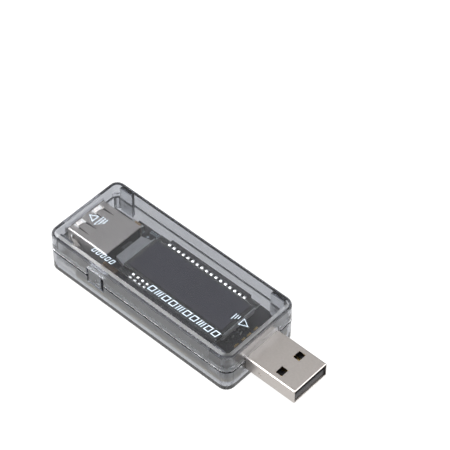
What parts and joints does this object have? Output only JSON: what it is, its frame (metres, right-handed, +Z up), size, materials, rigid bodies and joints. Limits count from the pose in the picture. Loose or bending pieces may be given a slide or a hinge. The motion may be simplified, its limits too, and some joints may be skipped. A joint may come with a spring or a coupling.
{
  "type": "usb power meter",
  "caption": "Pocket meter in a translucent smoke case, with a USB plug at one end, a USB socket at the other, a pinned glass display and a side reset key.",
  "frame": {"origin": "centre of the overall footprint, on the surface the case rests on", "axes": "+X along the meter towards the plug, +Z up through the display, reset key on the -Y side"},
  "size_m": [0.0768, 0.0252, 0.0132],
  "materials": {
    "case_smoke": "clear smoke-grey moulded plastic, polished",
    "board_black": "black solder mask over glass fibre, satin",
    "display_glass": "thin clear glass with ground edges",
    "polariser_grey": "dark grey polarising film, satin",
    "diffuser_white": "white diffusing acrylic",
    "pin_tin": "bright tinned sheet",
    "shell_nickel": "satin nickel plate",
    "contact_gold": "thin gold plate",
    "moulding_black": "black glass-filled moulding",
    "chip_black": "black epoxy package, fine grain",
    "ceramic_tan": "fired ceramic with tinned ends"
  },
  "bodies": {
    "housing": {"top_cover": "case_smoke", "bottom_shell": "case_smoke", "main_board": "board_black", "lcd_front_polariser": "polariser_grey", "lcd_front_glass": "display_glass", "lcd_seal": "moulding_black", "lcd_rear_glass": "display_glass", "lcd_rear_polariser": "polariser_grey", "backlight_guide": "diffuser_white", "backlight_reflector": "diffuser_white", "backlight_led": "diffuser_white", "lcd_pin_row_left": "pin_tin", "lcd_pin_row_right": "pin_tin", "plug_shell": "shell_nickel", "plug_insulator": "moulding_black", "socket_shell": "shell_nickel", "socket_insulator": "moulding_black", "plug_contact_1": "contact_gold", "plug_contact_2": "contact_gold", "plug_contact_3": "contact_gold", "plug_contact_4": "contact_gold", "socket_contact_1": "contact_gold", "socket_contact_2": "contact_gold", "socket_contact_3": "contact_gold", "socket_contact_4": "contact_gold", "switch_body": "moulding_black", "switch_frame": "pin_tin", "switch_dome": "pin_tin", "meter_chip": "chip_black", "amplifier_chip": "chip_black", "regulator": "chip_black", "shunt_resistor": "chip_black", "crystal": "pin_tin", "tantalum_capacitor": "ceramic_tan", "capacitor_1": "ceramic_tan", "capacitor_2": "ceramic_tan", "capacitor_3": "ceramic_tan", "resistor_1": "chip_black", "resistor_2": "chip_black", "resistor_3": "chip_black", "resistor_4": "chip_black"},
    "reset_key": {"reset_button": "case_smoke"},
    "switch_stem": {"switch_plunger": "moulding_black"}
  },
  "joints": [
    {"name": "reset_press", "type": "slide", "parent": "housing", "child": "reset_key", "axis": [0, 1, 0], "range_m": [0, 0.0004], "stiffness_N_per_m": 400, "springref_m": -0.003},
    {"name": "switch_press", "type": "slide", "parent": "housing", "child": "switch_stem", "axis": [0, 1, 0], "range_m": [0, 0.0004]}
  ],
  "couplings": [
    {"joint": "switch_press", "follows": "reset_press", "ratio": 1}
  ]
}
